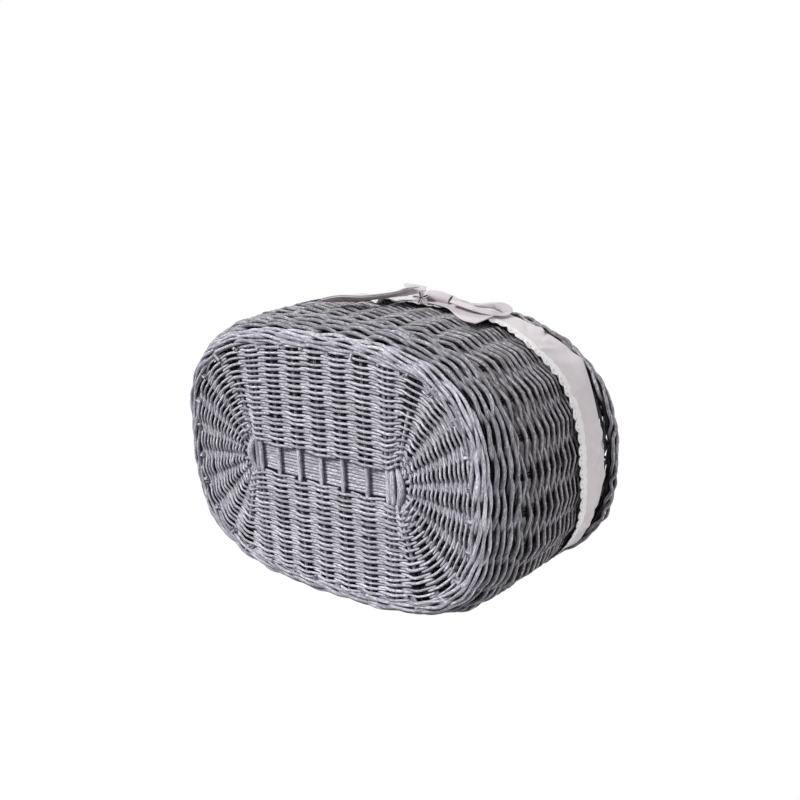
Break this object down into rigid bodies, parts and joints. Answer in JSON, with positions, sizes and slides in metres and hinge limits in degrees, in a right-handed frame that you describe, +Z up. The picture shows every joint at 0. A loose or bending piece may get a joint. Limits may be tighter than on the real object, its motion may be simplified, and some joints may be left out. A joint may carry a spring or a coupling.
{
  "type": "lidded shopping basket",
  "caption": "Oval grey willow shopping basket with an arched handle, hinged half lids on a middle bar, and a cotton liner whose lace-edged cuff is tied with bows.",
  "frame": {"origin": "on the standing surface, under the middle of the base", "axes": "+Z up, +X along the basket's length towards the end that the picture shows, -Y towards the long side with the bow that the picture shows"},
  "size_m": [0.4634, 0.3278, 0.3443],
  "materials": {
    "willow": "matt grey paint, brushed thin over willow",
    "dark_willow": "matt grey paint, brushed thin over willow",
    "cotton": "plain woven cotton, matt",
    "lace": "white cotton lace, matt"
  },
  "bodies": {
    "basket": {"base_long_rod_1": "willow", "base_long_rod_2": "willow", "base_long_rod_3": "willow", "base_long_rod_4": "willow", "base_long_rod_5": "willow", "base_long_rod_6": "willow", "base_long_rod_7": "willow", "base_long_rod_8": "willow", "base_long_rod_9": "willow", "base_cross_stick_1": "willow", "base_cross_stick_2": "willow", "base_cross_stick_3": "willow", "base_cross_stick_4": "willow", "base_cross_stick_5": "willow", "base_cross_stick_6": "willow", "base_cross_stick_7": "willow", "base_cross_stick_8": "willow", "base_cross_stick_9": "willow", "base_end_wrap_left": "willow", "base_end_wrap_right": "willow", "base_weave": "willow", "base_foot_wale": "willow", "upsett_wale": "willow", "side_weave": "dark_willow", "stakes_and_border": "dark_willow", "liner_bag": "cotton", "liner_cuff_right": "cotton", "liner_cuff_left": "cotton", "cuff_lace_right": "lace", "cuff_lace_left": "lace", "handle_core": "willow", "handle_wrap": "willow", "bar_stick_left": "willow", "bar_stick_right": "willow", "bar_weave": "willow", "bow_front_knot": "cotton", "bow_front_long_loop": "cotton", "bow_front_short_loop": "cotton", "bow_front_wide_tail": "cotton", "bow_front_short_tail": "cotton", "bow_back_knot": "cotton", "bow_back_long_loop": "cotton", "bow_back_short_loop": "cotton", "bow_back_wide_tail": "cotton", "bow_back_short_tail": "cotton"},
    "lid_right": {"lid_right_hinge_stick": "willow", "lid_right_ribs_and_border": "dark_willow", "lid_right_weave": "dark_willow", "lid_right_hinge_loop_1": "willow", "lid_right_hinge_loop_2": "willow"},
    "lid_left": {"lid_left_hinge_stick": "willow", "lid_left_ribs_and_border": "dark_willow", "lid_left_weave": "dark_willow", "lid_left_hinge_loop_1": "willow", "lid_left_hinge_loop_2": "willow"}
  },
  "joints": [
    {"name": "lid_right_hinge", "type": "hinge", "parent": "basket", "child": "lid_right", "pos_m": [0.024, 0, 0.1783], "axis": [0, -1, 0], "range_deg": [0, 93]},
    {"name": "lid_left_hinge", "type": "hinge", "parent": "basket", "child": "lid_left", "pos_m": [-0.024, 0, 0.1783], "axis": [0, 1, 0], "range_deg": [0, 93]}
  ]
}
